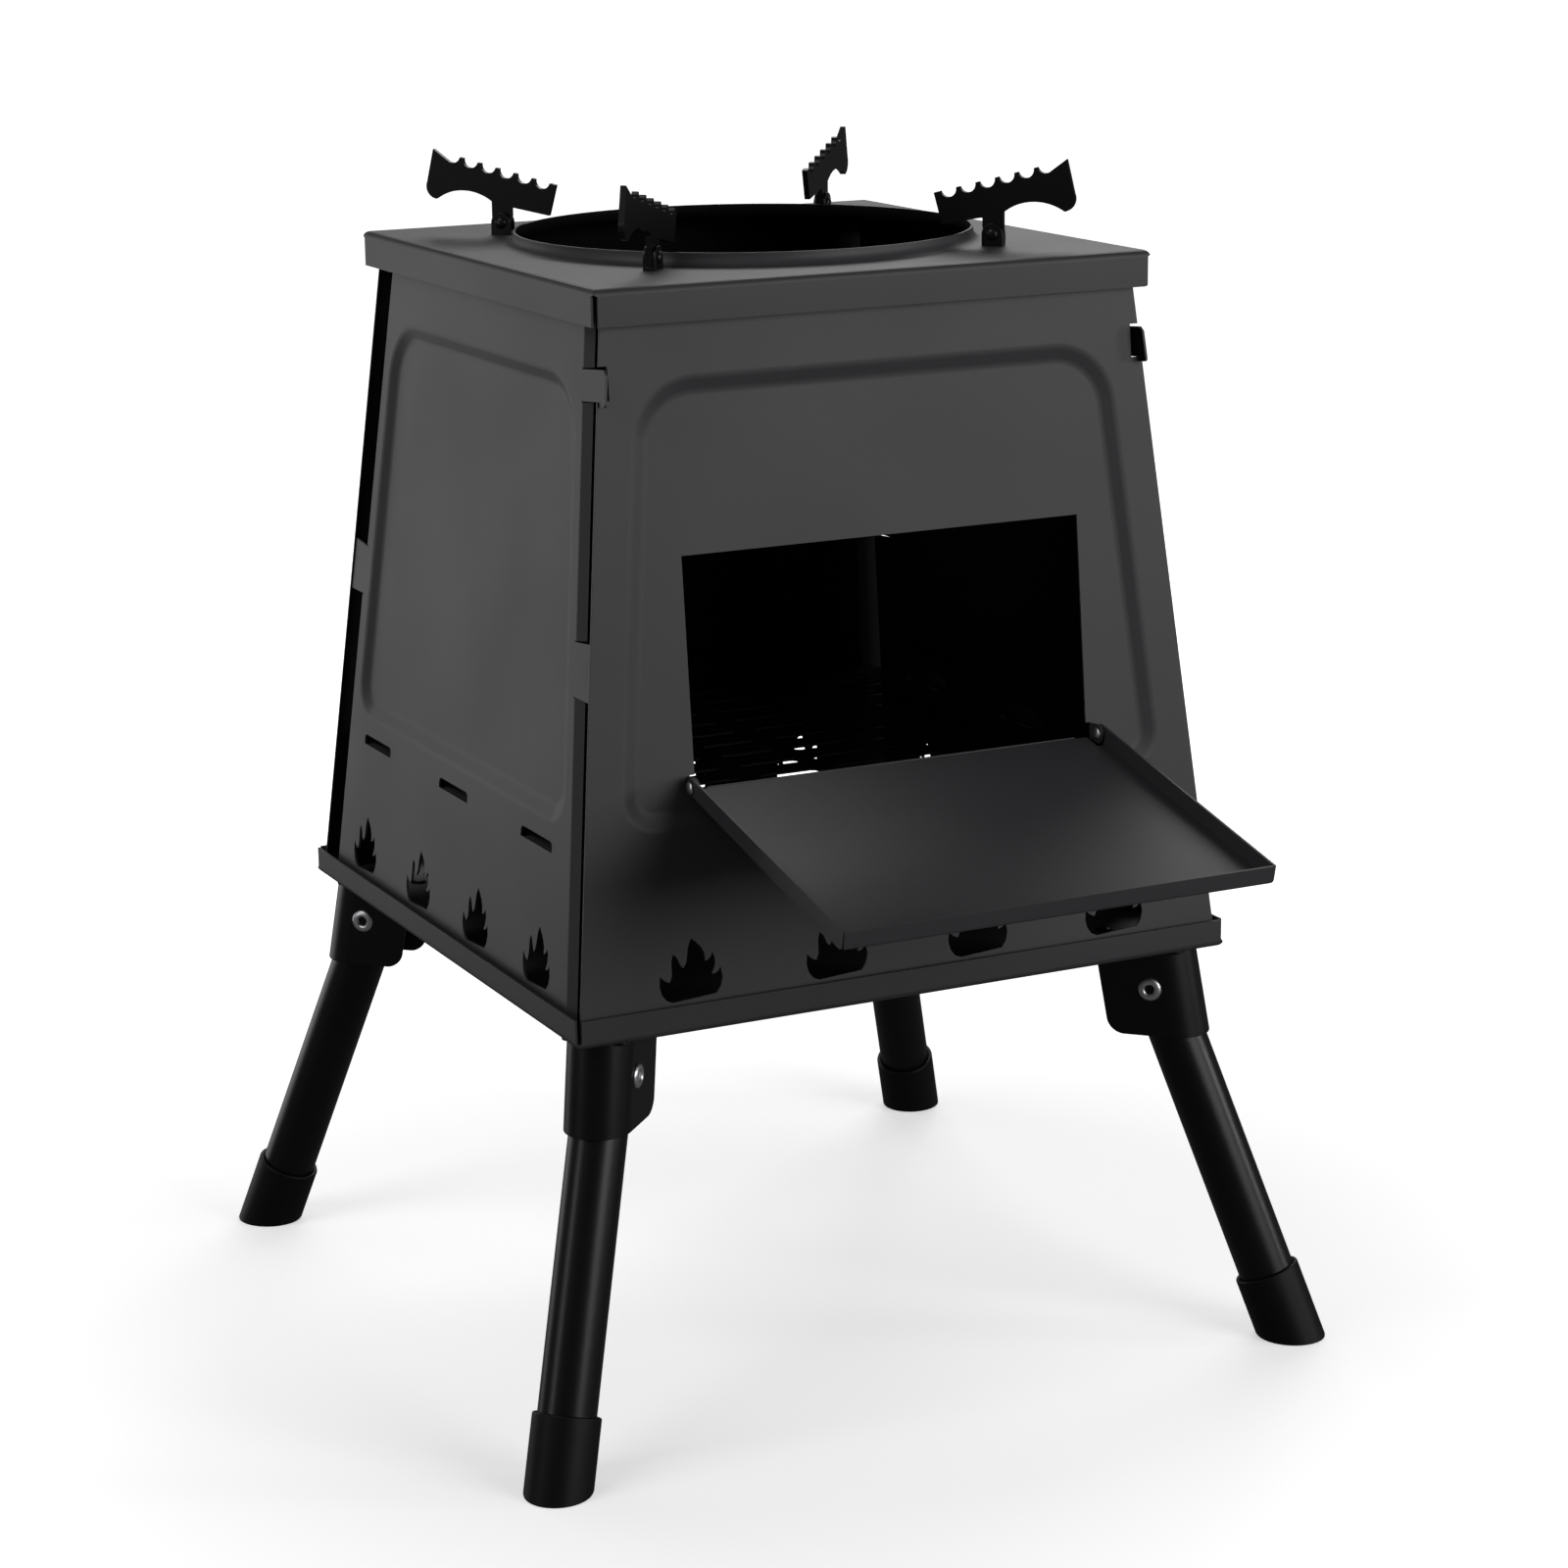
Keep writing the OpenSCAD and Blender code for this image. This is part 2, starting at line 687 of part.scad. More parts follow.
// Foot cap: a sleeve with a closed end, cut level with the ground
module foot_cap(k) {
    r = tube_d/2;
    color(rubber)
        intersection() {
            splayed(k)
                difference() {
                    translate([0, 0, -leg_len - tube_d]) cylinder(h = tube_d + cap_len, r = cap_d/2);
                    translate([0, 0, -leg_len + cap_floor + r*tan(splay) + 1]) cylinder(h = cap_len, r = r);
                }
            translate([-base_w, -base_w, 0]) cube([2*base_w, 2*base_w, base_z]);
        }
}
module foot_cap_front_left() foot_cap(0);
module foot_cap_front_right() foot_cap(1);
module foot_cap_back_right() foot_cap(2);
module foot_cap_back_left() foot_cap(3);

base_tray();
front_wall();
back_wall();
left_wall();
right_wall();
grate();
door();
door_rivets();
lid();
support_rivets();
leg_rivets();
bracket_rivets();
pot_support_front_left();
pot_support_front_right();
pot_support_back_right();
pot_support_back_left();
support_bracket_front_left();
support_bracket_front_right();
support_bracket_back_right();
support_bracket_back_left();
leg_bracket_front_left();
leg_bracket_front_right();
leg_bracket_back_right();
leg_bracket_back_left();
leg_tube_front_left();
leg_tube_front_right();
leg_tube_back_right();
leg_tube_back_left();
foot_cap_front_left();
foot_cap_front_right();
foot_cap_back_right();
foot_cap_back_left();
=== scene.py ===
import math
import bmesh
import bpy
from mathutils import Matrix, Vector


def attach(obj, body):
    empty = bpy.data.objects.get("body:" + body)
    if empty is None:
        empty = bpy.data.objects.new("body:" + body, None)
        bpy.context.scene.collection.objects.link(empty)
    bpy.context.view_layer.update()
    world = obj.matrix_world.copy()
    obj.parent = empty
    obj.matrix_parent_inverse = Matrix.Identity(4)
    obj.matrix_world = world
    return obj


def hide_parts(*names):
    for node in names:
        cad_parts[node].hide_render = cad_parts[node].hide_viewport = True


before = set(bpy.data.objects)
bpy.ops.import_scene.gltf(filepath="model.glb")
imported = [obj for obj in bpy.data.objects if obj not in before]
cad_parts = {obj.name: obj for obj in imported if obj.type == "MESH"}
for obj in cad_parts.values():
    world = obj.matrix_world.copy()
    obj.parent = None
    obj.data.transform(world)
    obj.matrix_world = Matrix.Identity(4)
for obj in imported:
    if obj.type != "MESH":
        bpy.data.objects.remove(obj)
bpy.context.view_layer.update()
# Lengths are written in millimetres, and Blender works in metres
mm = 0.001

# Camera: it looks down a little on the stove's front left corner, from about 1.7 metres away.
# The picture's centre lies a little beside the lens's axis.
azimuth, elevation, roll = math.radians(-25.91), math.radians(14.37), math.radians(-0.80)
aim = Vector((0, 0, 229.5*mm))
back = Vector((math.sin(azimuth)*math.cos(elevation), -math.cos(azimuth)*math.cos(elevation),
               math.sin(elevation)))
distance = 1674*mm
camera = bpy.data.objects.new("camera", bpy.data.cameras.new("camera"))
camera.data.lens = 87.35
camera.data.sensor_width = 36
camera.data.shift_x = 0.02125
camera.matrix_world = (Matrix.Translation(aim + back*distance)
                       @ back.to_track_quat("Z", "Y").to_matrix().to_4x4()
                       @ Matrix.Rotation(roll, 4, "Z"))
bpy.context.scene.collection.objects.link(camera)
bpy.context.scene.camera = camera
bpy.context.scene.view_settings.view_transform = "Standard"


# Studio: a white light table in a dim room, lit by five large soft boxes and two small ones.
# The lamps and the room light the stove. The glow of the table and the backdrop doesn't.
def add(tree, kind, inputs=(), **settings):
    """Adds a shader node with its settings. An input is a plain value or another node's output."""
    node = tree.nodes.new("ShaderNode" + kind)
    for name, value in settings.items():
        setattr(node, name, value)
    for name, value in dict(inputs).items():
        if isinstance(value, bpy.types.NodeSocket):
            tree.links.new(value, node.inputs[name])
        else:
            node.inputs[name].default_value = value
    return node


def colour(code):
    """A linear colour from an sRGB hex code."""
    parts = [int(code[i:i + 2], 16)/255 for i in (1, 3, 5)]
    return [c/12.92 if c <= 0.04045 else ((c + 0.055)/1.055)**2.4 for c in parts] + [1]


def new_material(name):
    """An empty material with its output node."""
    material = bpy.data.materials.new(name)
    material.use_nodes = True
    material.node_tree.nodes.clear()
    return material, add(material.node_tree, "OutputMaterial")


world = bpy.data.worlds.new("dim room")
world.use_nodes = True
world.node_tree.nodes["Background"].inputs["Color"].default_value = colour("#ffffff")
world.node_tree.nodes["Background"].inputs["Strength"].default_value = 0.07
bpy.context.scene.world = world


def stage_piece(name, mesh, material):
    """A piece of the studio. The stove isn't lit by it, and doesn't mirror it."""
    data = bpy.data.meshes.new(name)
    mesh.to_mesh(data)
    mesh.free()
    data.materials.append(material)
    piece = bpy.data.objects.new(name, data)
    piece.visible_diffuse = piece.visible_glossy = False
    bpy.context.scene.collection.objects.link(piece)
    return piece


# A light table: its white top glows, so that shadows on it stay pale. It glows least round the stove, which
# paints a soft shade on the table there. Distances are in metres from its middle.
table_top, output = new_material("white light table")
tree = table_top.node_tree
way = add(tree, "VectorMath", {0: add(tree, "TexCoord").outputs["Object"]}, operation="LENGTH")
# Weaker glow near the middle: painted shade round the stove
painted_shade_glow = add(tree, "MapRange", {"Value": way.outputs["Value"], "From Min": 0.25, "From Max": 0.9,
                               "To Min": 0.52, "To Max": 1.05})
glow = add(tree, "BsdfPrincipled", {"Base Color": colour("#f7f7f8"), "Roughness": 0.9,
                                    "Specular IOR Level": 0, "Emission Color": colour("#ffffff"),
                                    "Emission Strength": painted_shade_glow.outputs["Result"]})
tree.links.new(glow.outputs["BSDF"], output.inputs["Surface"])
grid = bmesh.new()
bmesh.ops.create_grid(grid, size=20)
stage_piece("light table", grid, table_top)

# A white dome closes the view above the table. Light passes through it.
backdrop, output = new_material("white backdrop")
glow = add(backdrop.node_tree, "Emission", {"Color": colour("#ffffff"), "Strength": 1})
backdrop.node_tree.links.new(glow.outputs["Emission"], output.inputs["Surface"])
ball = bmesh.new()
bmesh.ops.create_uvsphere(ball, u_segments=32, v_segments=16, radius=18)
dome = stage_piece("backdrop", ball, backdrop)
dome.visible_shadow = dome.visible_transmission = dome.visible_volume_scatter = False


lamp_aim = Vector((0, 0, 0.3))


def lamp(name, place, size, watts):
    """A soft square lamp that faces the stove. Its place and size are in metres."""
    light = bpy.data.lights.new(name, "AREA")
    light.energy, light.size = watts, size
    bulb = bpy.data.objects.new(name, light)
    bulb.location = place
    bulb.rotation_euler = (Vector(place) - lamp_aim).to_track_quat("Z", "Y").to_euler()
    bpy.context.scene.collection.objects.link(bulb)


lamp("front soft box", (0.94, -2.02, 0.86), 1.2, 18)
lamp("left soft box", (-1.61, -0.32, 1.91), 1.2, 10)
lamp("back left soft box", (-1.07, 2.03, 0.35), 1.4, 8)
lamp("back soft box", (0.62, 1.67, 1.76), 1.2, 9)
lamp("back right soft box", (1.33, 1.33, 1.63), 1.2, 9)
lamp("small left box", (-2.25, -0.1, 0.6), 0.35, 2.5)
lamp("small right box", (1.95, -1.2, 0.5), 0.35, 6)


# Base tray: one square of 1 mm sheet steel, pressed to a shallow pan. Its four edges are turned
# up 12 mm and meet at the corners in open seams. It catches the ash, and carries all the rest.
def even_surface(name, dark, light, low, high, peel, gloss):
    """A material between two close colours, with its roughness range, its peel in mm and its gloss."""
    material, output = new_material(name)
    tree = material.node_tree
    # Real grains are about 0.3 mm across. They are drawn 1.5 mm wide, the least that shows.
    cloud_width, ripple_width, grain_width = 60*mm, 5*mm, 1.5*mm
    place = add(tree, "TexCoord").outputs["Object"]
    cloud = add(tree, "TexNoise", {"Vector": place, "Scale": 1/cloud_width, "Detail": 3})
    grain = add(tree, "TexNoise", {"Vector": place, "Scale": 1/grain_width, "Detail": 2,
                                   "Roughness": 0.6})
    ripple = add(tree, "TexNoise", {"Vector": place, "Scale": 1/ripple_width, "Detail": 1})
    tone = add(tree, "Mix", {"Factor": cloud.outputs["Fac"]}, data_type="RGBA")
    tone.inputs[6].default_value, tone.inputs[7].default_value = colour(dark), colour(light)
    dull = add(tree, "MapRange", {"Value": cloud.outputs["Fac"], "To Min": low, "To Max": high})
    height = add(tree, "Math", {0: grain.outputs["Fac"], 1: ripple.outputs["Fac"]}, operation="ADD")
    skin = add(tree, "Bump", {"Height": height.outputs["Value"], "Distance": peel*mm, "Strength": 0.5})
    coat = add(tree, "BsdfPrincipled", {"Base Color": tone.outputs[2], "Roughness": dull.outputs["Result"],
                                        "Specular IOR Level": gloss, "Normal": skin.outputs["Normal"]})
    tree.links.new(coat.outputs["BSDF"], output.inputs["Surface"])
    return material


def add_piece(mesh, node, body, slot, *materials):
    """Makes a mesh the shown piece that stands for a CAD node and moves with a body."""
    data = bpy.data.meshes.new(node + "_sheet")
    mesh.to_mesh(data)
    mesh.free()
    for material in materials:
        data.materials.append(material)
    data.shade_smooth()
    piece = bpy.data.objects.new(node + "_piece", data)
    bpy.context.scene.collection.objects.link(piece)
    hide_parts(node)
    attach(piece, body)
    return piece


def deburr(piece, width):
    """Takes the sharpness off a piece's cut edges, and shades it as the flat and round faces it has."""
    edge = piece.modifiers.new("deburred edges", "BEVEL")
    edge.width, edge.segments = width, 2
    edge.limit_method, edge.angle_limit = "ANGLE", math.radians(40)
    piece.modifiers.new("even shading", "WEIGHTED_NORMAL").keep_sharp = True


def thicken(piece, thickness):
    """Gives a skin of outer faces its sheet's thickness, inwards. The inner side has the second finish."""
    sheet = piece.modifiers.new("sheet thickness", "SOLIDIFY")
    sheet.thickness, sheet.offset, sheet.use_even_offset = thickness, -1, True
    sheet.material_offset = 1


def move(mesh, x, y, z):
    """Moves a whole mesh."""
    bmesh.ops.translate(mesh, vec=(x, y, z), verts=mesh.verts)


def round_off(mesh, geometry, radius, segments, affect="EDGES"):
    """Rounds some of a mesh's edges, or its corners where affect is VERTICES."""
    bmesh.ops.bevel(mesh, geom=geometry, offset=radius, offset_type="OFFSET", segments=segments,
                    affect=affect, profile=0.5, material=-1)


def pressed_pan(width, height, bend, seam):
    """The outer skin of a square pan on the ground: a flat floor, rounded bends and open corner seams."""
    pan = bmesh.new()
    bmesh.ops.create_cube(pan, size=1)
    bmesh.ops.scale(pan, vec=(width, width, height), verts=pan.verts)
    move(pan, 0, 0, height/2)
    bmesh.ops.delete(pan, geom=[f for f in pan.faces if f.normal.z > 0.5], context="FACES_ONLY")
    low = [e for e in pan.edges if max(v.co.z for v in e.verts) < bend/2]
    round_off(pan, low, bend, segments=5)
    upright = [e for e in pan.edges if abs(e.verts[0].co.z - e.verts[1].co.z) > height/2
               and all(min(abs(v.co.x), abs(v.co.y)) > width/2 - bend/2 for v in e.verts)]
    cut = bmesh.ops.bevel(pan, geom=upright, offset=seam, offset_type="WIDTH", segments=1, affect="EDGES",
                          profile=0.5, material=-1)
    bmesh.ops.delete(pan, geom=cut["faces"], context="FACES")
    return pan


sheet = 1*mm
tray_bottom = 173*mm
# Powder coat is a dry pigment, sprayed on and baked. It flows to a dull, even skin with a faint
# orange peel, which spreads every reflection.
charcoal_coat = even_surface("charcoal powder coat", "#373538", "#3d3b3e", 0.48, 0.58, 0.04, 0.5)
tray = pressed_pan(width=300*mm, height=12*mm, bend=3*mm, seam=2.8*mm)
move(tray, 0, 0, tray_bottom)
tray = add_piece(tray, "base_tray", "stove_body", "grey_coat", charcoal_coat, charcoal_coat)
thicken(tray, sheet)
deburr(tray, 0.25*mm)


# Four walls: sheet steel panels, each pressed in one stroke with a rounded panel, and punched
# with flame shaped vents. The side walls' slits are lanced, and their tongues carry the grate.
# The walls hook into each other and stand in the tray.
def everything(mesh):
    """All of a mesh's corners, edges and faces."""
    return mesh.verts[:] + mesh.edges[:] + mesh.faces[:]


def merged_copy(node):
    """A CAD node's solid, with its loose triangles joined to whole faces."""
    solid = bmesh.new()
    solid.from_mesh(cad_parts[node].data)
    bmesh.ops.remove_doubles(solid, verts=solid.verts, dist=0.002*mm)
    bmesh.ops.dissolve_limit(solid, angle_limit=math.radians(0.5), verts=solid.verts, edges=solid.edges)
    return solid


# Inside faces take a dull, near-black coat, which paints the shade inside the stove and its collar
inside_painted_shade_coat = even_surface("inside coat, painted shade", "#0a0a0a", "#0e0e0d", 0.6, 0.75, 0.04, 0.1)
# The turn of the sheet at a press step, and how far the press tool rounds it to each side
press_turn = (math.radians(12), math.radians(32))
press_round = 1.6*mm
# Where the walls' outer faces stand at their foot, and how far they lean in for their height
wall_foot = 147.1*mm
wall_lean = 0.09942
# A side wall's lips: their free edges lie this far behind the next wall's face. At the front they
# are set back along the lip, out and rearwards, which leaves a dark gap beside the front wall.
lip_gap = (5.8*mm, 7.6*mm)
lip_trim_out, lip_trim_back = 1.35*mm, 3.35*mm
# The lips have windows for the tabs. Their lower edges lie between these heights, and are raised
# to the tabs, so that no daylight shows through the corners.
window_sill = (305*mm, 307*mm)
window_rise = 1.6*mm
lip_start = 115*mm
# Ledges and hoods of the lanced slits
ledge_top = 242*mm
ledge_pitch = 90*mm
inner_face = 139.4*mm
hood_depth, hood_half, hood_height = 6*mm, 18*mm, 7.5*mm
hood_drop = 0.8*mm
hood_sheet = 0.7*mm
for node, outward in (("front_wall", (0, -1, 0)), ("back_wall", (0, 1, 0)), ("left_wall", (-1, 0, 0)),
                      ("right_wall", (1, 0, 0))):
    wall = merged_copy(node)
    outward = Vector(outward)
    steps = [e for e in wall.edges if len(e.link_faces) == 2
             and press_turn[0] < e.calc_face_angle() < press_turn[1]
             and all(abs(f.normal.dot(outward)) > 0.8 for f in e.link_faces)]
    round_off(wall, steps, press_round, segments=3)
    # The inside has the near-black coat of painted shade, which is each wall's second material
    for face in wall.faces:
        face.material_index = 1 if face.normal.dot(outward) < -0.3 else 0
    if outward.x:
        for vert in wall.verts:
            if window_sill[0] < vert.co.z < window_sill[1] and abs(vert.co.y) > lip_start:
                vert.co.z += window_rise
            front_face = wall_foot - (vert.co.z - tray_bottom - sheet)*wall_lean
            if lip_gap[0] < front_face + vert.co.y < lip_gap[1]:
                vert.co += outward*lip_trim_out + Vector((0, lip_trim_back, 0))
        # Behind each slit the lanced sheet is drawn in to a low hood, which keeps the flames in
        hood = bmesh.new()
        slit = Vector((outward.x*inner_face, 0, ledge_top))
        bmesh.ops.create_uvsphere(hood, u_segments=32, v_segments=16, radius=1)
        bmesh.ops.scale(hood, vec=(hood_depth, hood_half, hood_height), verts=hood.verts)
        move(hood, *slit)
        for at, cut in ((slit, outward), (slit - Vector((0, 0, hood_drop)), Vector((0, 0, -1)))):
            bmesh.ops.bisect_plane(hood, geom=everything(hood), plane_co=at, plane_no=cut, clear_outer=True)
        bmesh.ops.solidify(hood, geom=hood.faces[:], thickness=hood_sheet)
        bmesh.ops.recalc_face_normals(hood, faces=hood.faces[:])
        move(hood, 0, -ledge_pitch, 0)
        bmesh.ops.spin(hood, geom=everything(hood), cent=(0, 0, 0), axis=(0, 0, 1), angle=0,
                       dvec=(0, ledge_pitch, 0), steps=2, use_duplicate=True)
        # The hoods take the same near-black coat, which paints shade behind the slits
        for face in hood.faces:
            face.material_index = 1
        hoods = bpy.data.meshes.new(node + "_hoods")
        hood.to_mesh(hoods)
        hood.free()
        wall.from_mesh(hoods)
        bpy.data.meshes.remove(hoods)
    wall = add_piece(wall, node, "stove_body", "grey_coat", charcoal_coat, inside_painted_shade_coat)
    deburr(wall, 0.25*mm)


# Grate: a flat plate with rows of punched slots, black from the fire. It lies loose on the
# side walls' ledges.
# The black parts' powder coat is finer and blacker, and has a satin shine: tubes show soft bands
black_coat = even_surface("black satin powder coat", "#0a090a", "#0e0d0e", 0.30, 0.38, 0.015, 0.35)
grate = add_piece(merged_copy("grate"), "grate", "stove_body", "black_coat", black_coat)
deburr(grate, 0.2*mm)


# Door: a sheet steel pan with three edges turned up, hung on two rivets in the front wall's
# ears. It rests with its rear edge against the wall, and drops a little below the level.
door = merged_copy("door")
hinge = Vector((0, -140.4845*mm, 270.9964*mm))
door_droop = 12.7
level = Matrix.Rotation(math.radians(-door_droop), 3, "X")


def door_place(vertex):
    """Where a point of the open door lies when the door is level, with the hinge at zero."""
    return level @ (vertex.co - hinge)


# Past these planes, measured on the level door from its hinge, lie only the long outer bends
door_underside, door_front, door_side = -3.9*mm, -132.9*mm, 94.4*mm
door_bend = 1.6*mm
shortest_bend = 20*mm
outer_bends = []
for edge in door.edges:
    a, b = (door_place(v) for v in edge.verts)
    if max(a.z, b.z) < door_underside and (a - b).length > shortest_bend:
        if max(a.y, b.y) < door_front or min(abs(a.x), abs(b.x)) > door_side:
            outer_bends.append(edge)
round_off(door, outer_bends, door_bend, segments=4)
door = add_piece(door, "door", "door", "grey_coat", charcoal_coat)
deburr(door, 0.25*mm)


# Door rivets: short steel rivets with low domed heads, zinc plated. Each goes through an ear
# and the door's side, and is the door's hinge.
def spun_rivet(shank, grip, head, height, bore=0):
    """A rivet along z from its lower seat at zero: two domed heads, and a hole if it has a bore."""
    rivet = bmesh.new()
    arc = [math.radians(a) for a in (0, 15, 35, 60, 90)]
    dome = [(bore + (head - bore)*math.sin(a), -height*math.cos(a)) for a in arc]
    side = dome + [(shank, 0)]
    profile = side + [(r, grip - z) for r, z in reversed(side)]
    if bore:
        # The rolled edge of a hollow rivet turns over into its hole
        profile = [(bore*0.8, -height*0.4)] + profile + [(bore*0.8, grip + height*0.4)]
    points = [rivet.verts.new((r, 0, z)) for r, z in profile]
    line = [rivet.edges.new(pair) for pair in zip(points, points[1:])]
    if bore:
        line.append(rivet.edges.new((points[-1], points[0])))
    bmesh.ops.spin(rivet, geom=points + line, cent=(0, 0, 0), axis=(0, 0, 1), angle=math.tau, steps=32,
                   use_merge=True)
    bmesh.ops.remove_doubles(rivet, verts=rivet.verts, dist=0.001*mm)
    bmesh.ops.recalc_face_normals(rivet, faces=rivet.faces[:])
    return rivet


def turn(mesh, degrees, axis):
    """Turns a whole mesh about an axis through zero."""
    bmesh.ops.rotate(mesh, cent=(0, 0, 0), matrix=Matrix.Rotation(math.radians(degrees), 3, axis),
                     verts=mesh.verts)


# Zinc plate is a bright metal, whose fine crystals blur what it mirrors
zinc = even_surface("bright zinc plate", "#d8d9dc", "#ececee", 0.32, 0.42, 0.005, 0.5)
zinc.node_tree.nodes["Principled BSDF"].inputs["Metallic"].default_value = 1
ear_side = 92.1*mm
rivets = spun_rivet(shank=2*mm, grip=2.7*mm, head=2.8*mm, height=1.2*mm)
turn(rivets, 90, "Y")
move(rivets, hinge.x + ear_side, hinge.y, hinge.z)
bmesh.ops.mirror(rivets, geom=everything(rivets), axis="X", merge_dist=0)
bmesh.ops.recalc_face_normals(rivets, faces=rivets.faces[:])
add_piece(rivets, "door_rivets", "stove_body", "bright_steel", zinc)


# Lid: a pan like the tray, upside down over the walls. Round the fire hole the sheet is drawn
# up to a low collar, which stiffens it.
lid_top = 468*mm
lid_width = 250*mm
hole_radius = 96.5*mm
collar_bend = 4.3*mm
collar_height = 5.5*mm
lid = pressed_pan(lid_width, height=15*mm, bend=3*mm, seam=2.8*mm)
turn(lid, 180, "X")
move(lid, 0, 0, lid_top)
# The flat plate is the only face of its size that looks up. It is filled again round the collar.
plate = next(f for f in lid.faces if f.normal.z > 0.99 and f.calc_area() > lid_width**2/2)
plate_edges = plate.edges[:]
bmesh.ops.delete(lid, geom=[plate], context="FACES_ONLY")
turns = [math.radians(a) for a in (0, 15, 30, 45, 60, 75, 90)]
collar_radius = hole_radius + sheet
section = [(collar_radius + collar_bend*(1 - math.sin(a)), lid_top + collar_bend*(1 - math.cos(a)))
           for a in turns]
section.append((collar_radius, lid_top + collar_height))
points = [lid.verts.new((r, 0, z)) for r, z in section]
line = [lid.edges.new(pair) for pair in zip(points, points[1:])]
bmesh.ops.spin(lid, geom=points + line, cent=(0, 0, 0), axis=(0, 0, 1), angle=math.tau, steps=96,
               use_merge=True)
foot = [e for e in lid.edges if len(e.link_faces) == 1
        and all(abs(v.co.xy.length - section[0][0]) < 0.01*mm and abs(v.co.z - lid_top) < 0.01*mm
                for v in e.verts)]
bmesh.ops.triangle_fill(lid, edges=plate_edges + foot, use_beauty=True)
bmesh.ops.recalc_face_normals(lid, faces=lid.faces[:])
lid = add_piece(lid, "lid", "lid", "grey_coat", charcoal_coat, inside_painted_shade_coat)
thicken(lid, sheet)
deburr(lid, 0.25*mm)


# Pot supports: black plates stamped from 2.5 mm steel, with seven teeth for the pot. Each
# stands in a small channel that is spot welded on the lid, and tilts on a rivet through it.
corners = {"front_left": 225, "front_right": 315, "back_right": 45, "back_left": 135}
for corner in corners:
    node = "support_bracket_" + corner
    deburr(add_piece(merged_copy(node), node, "lid", "black_coat", black_coat), 0.3*mm)
    node = "pot_support_" + corner
    deburr(add_piece(merged_copy(node), node, node, "black_coat", black_coat), 0.35*mm)


def four_corners(mesh):
    """Repeats what was made for the first corner at the other three."""
    bmesh.ops.spin(mesh, geom=everything(mesh), cent=(0, 0, 0), axis=(0, 0, 1), angle=math.radians(270),
                   steps=3, use_duplicate=True)
    bmesh.ops.recalc_face_normals(mesh, faces=mesh.faces[:])


# The supports' rivets lie this far out on the diagonals, and this high above the lid
support_radius = 110*mm
support_pivot = 5*mm
channel_width = 5.5*mm
rivets = spun_rivet(shank=1.5*mm, grip=channel_width, head=2.6*mm, height=1.2*mm)
turn(rivets, 90, "X")
move(rivets, support_radius, channel_width/2, lid_top + support_pivot)
turn(rivets, 45, "Z")
four_corners(rivets)
add_piece(rivets, "support_rivets", "lid", "black_coat", black_coat)


# Leg brackets: channels bent from 1.4 mm steel round the tube, each with a flange that two
# rivets hold under the tray. The lower lip of the round web stops the leg.
pivot_radius = 183.5*mm
pivot_height = tray_bottom - 17.5*mm
bracket_steel = 1.4*mm
channel_radius = 14*mm
channel_tilt = -10
ear_reach = 21*mm
heel_round = 6.5*mm
# The round web's axis lies this far outside the pivot, so that its lip just clears the tube
web_offset = 4.912*mm
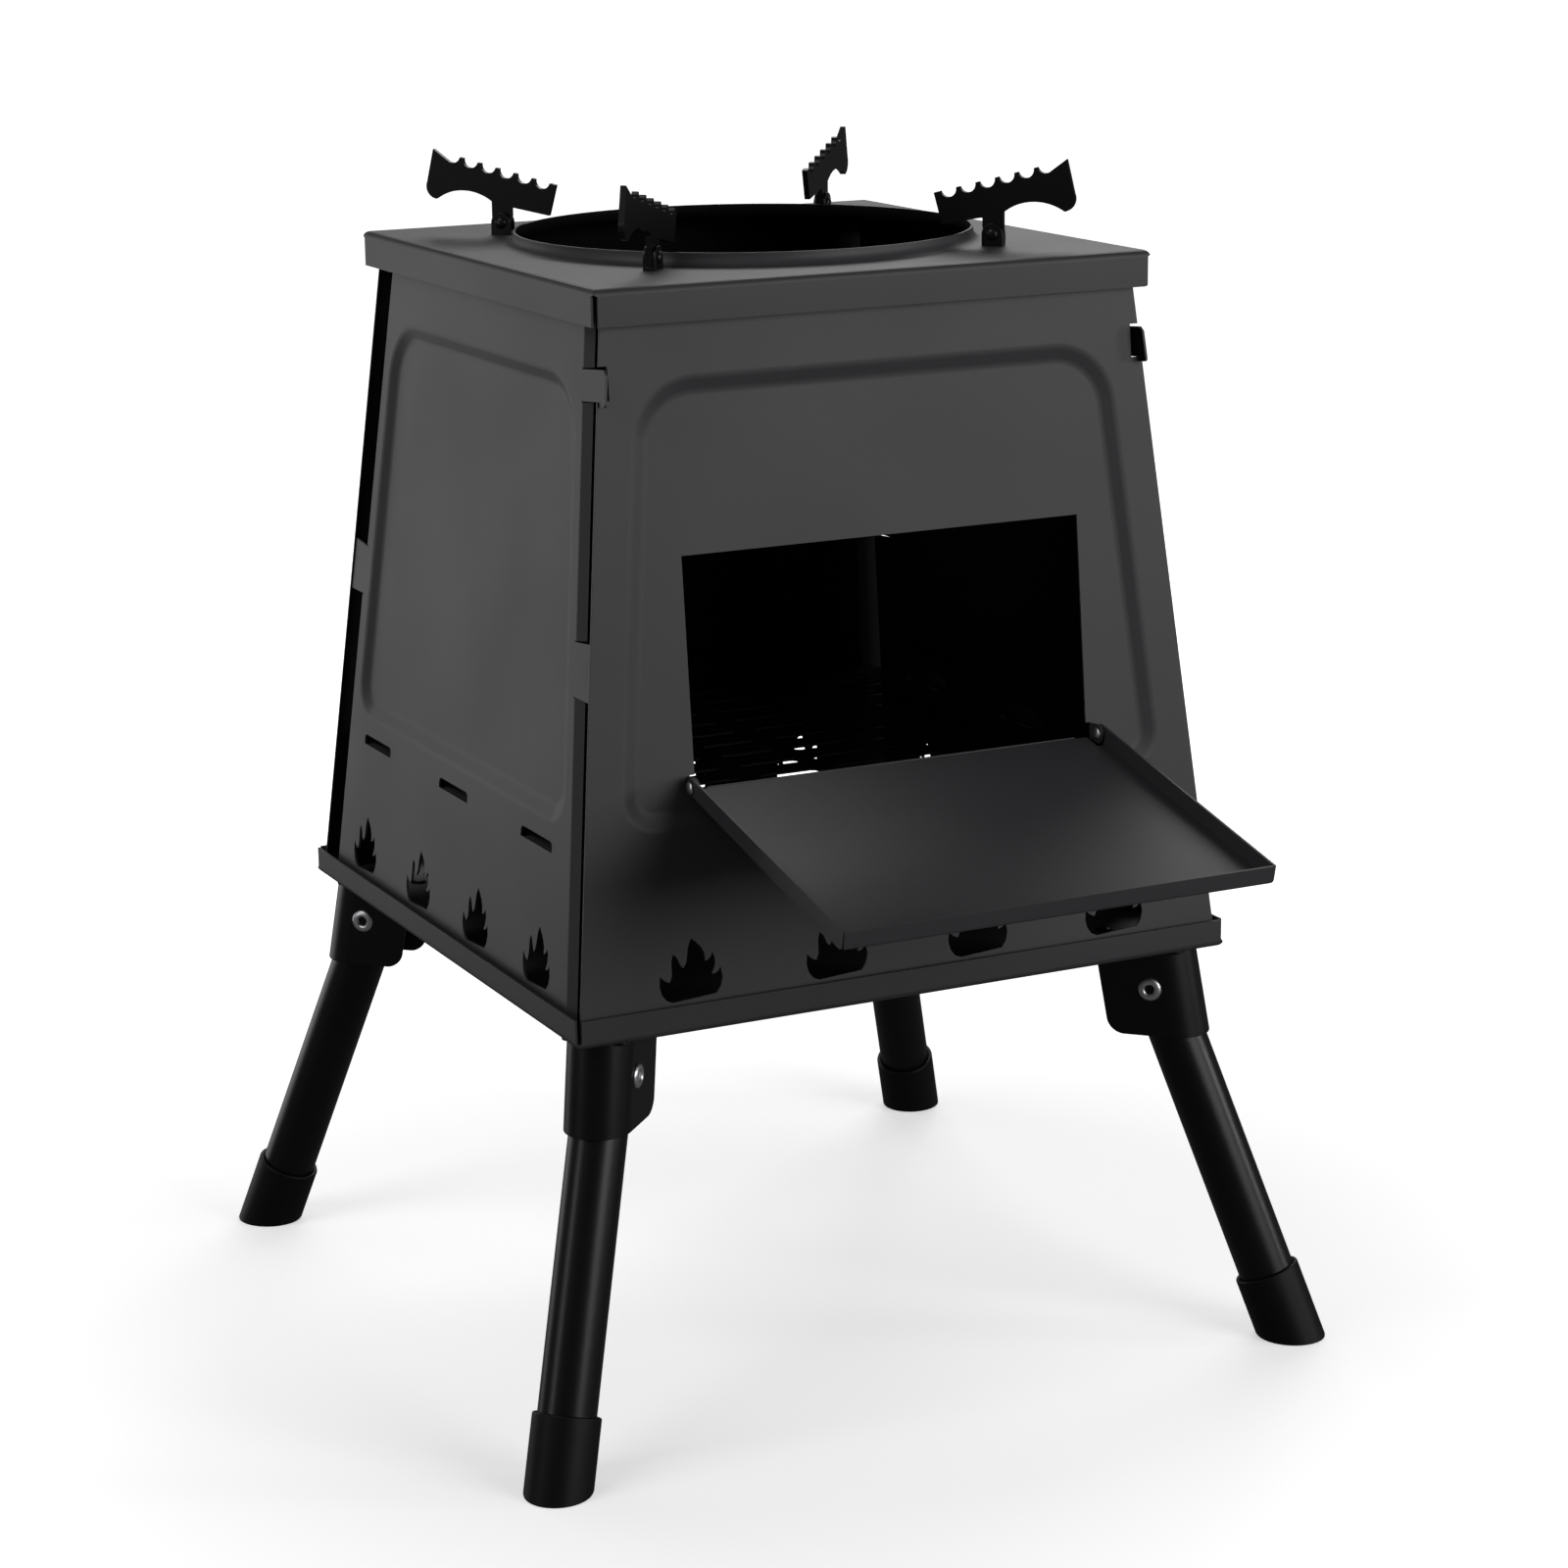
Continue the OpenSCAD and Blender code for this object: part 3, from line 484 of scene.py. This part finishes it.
# The channel is made long, and then cut level at its lower lip and in the middle of the flange
channel_blank = 100*mm
lower_lip, flange_middle = -21*mm, 16.8*mm
flange_length, flange_centre, flange_corner = 44*mm, -9*mm, 3*mm
for corner, angle in corners.items():
    bracket = bmesh.new()
    bmesh.ops.create_circle(bracket, cap_ends=False, radius=channel_radius, segments=64)
    bmesh.ops.delete(bracket, geom=[v for v in bracket.verts if v.co.x < -0.01*mm], context="VERTS")
    ends = bmesh.ops.extrude_vert_indiv(bracket, verts=[v for v in bracket.verts if len(v.link_edges) == 1])
    bmesh.ops.translate(bracket, verts=ends["verts"], vec=(-ear_reach - web_offset, 0, 0))
    move(bracket, web_offset, 0, -channel_blank/2)
    sides = bmesh.ops.extrude_edge_only(bracket, edges=bracket.edges[:])
    bmesh.ops.translate(bracket, verts=[v for v in sides["geom"] if isinstance(v, bmesh.types.BMVert)],
                        vec=(0, 0, channel_blank))
    turn(bracket, channel_tilt, "Y")
    for height, outer in ((flange_middle, 1), (lower_lip, -1)):
        bmesh.ops.bisect_plane(bracket, geom=everything(bracket), plane_co=(0, 0, height),
                               plane_no=(0, 0, outer), clear_outer=True)
    heels = sorted(bracket.verts, key=lambda v: (round(v.co.z, 5), v.co.x))[:2]
    round_off(bracket, heels, heel_round, segments=8, affect="VERTICES")
    bmesh.ops.recalc_face_normals(bracket, faces=bracket.faces[:])
    bmesh.ops.solidify(bracket, geom=bracket.faces[:], thickness=bracket_steel)
    flange = bmesh.ops.create_cube(bracket, size=1)["verts"]
    bmesh.ops.scale(bracket, vec=(flange_length, 2*channel_radius, bracket_steel), verts=flange)
    bmesh.ops.translate(bracket, vec=(flange_centre, 0, flange_middle), verts=flange)
    upright = [e for e in bracket.edges if e.verts[0] in flange
               and abs(e.verts[0].co.z - e.verts[1].co.z) > mm]
    round_off(bracket, upright, flange_corner, segments=4)
    move(bracket, pivot_radius, 0, pivot_height)
    turn(bracket, angle, "Z")
    bracket = add_piece(bracket, "leg_bracket_" + corner, "stove_body", "black_coat", black_coat)
    deburr(bracket, 0.3*mm)
# Two rivets join each flange and the tray's floor, one to each side of the diagonal
rivet_radius, rivet_side = 158*mm, 7*mm
rivets = spun_rivet(shank=2*mm, grip=bracket_steel + sheet, head=3.5*mm, height=1.2*mm)
move(rivets, rivet_radius, rivet_side, tray_bottom - bracket_steel)
bmesh.ops.mirror(rivets, geom=everything(rivets), axis="Y", merge_dist=0)
turn(rivets, 45, "Z")
four_corners(rivets)
add_piece(rivets, "bracket_rivets", "stove_body", "black_coat", black_coat)


# Legs: steel tubes, 24 mm across, that fold in on hollow zinc plated rivets. Each foot is
# pushed into a rubber cap.
# Moulded rubber takes the fine grain of its mould, and is duller than the coat
cap_rubber = even_surface("moulded black rubber", "#09090a", "#0d0d0e", 0.44, 0.55, 0.02, 0.22)
for corner in corners:
    for node, slot, coat, width in (("leg_tube_" + corner, "black_coat", black_coat, 0.3*mm),
                                    ("foot_cap_" + corner, "cap_plastic", cap_rubber, 0.8*mm)):
        deburr(add_piece(merged_copy(node), node, "leg_" + corner, slot, coat), width)
rivets = spun_rivet(shank=3*mm, grip=2*channel_radius, head=5.2*mm, height=1.4*mm, bore=2.6*mm)
turn(rivets, 90, "X")
move(rivets, pivot_radius, channel_radius, pivot_height)
turn(rivets, 45, "Z")
four_corners(rivets)
add_piece(rivets, "leg_rivets", "stove_body", "bright_steel", zinc)
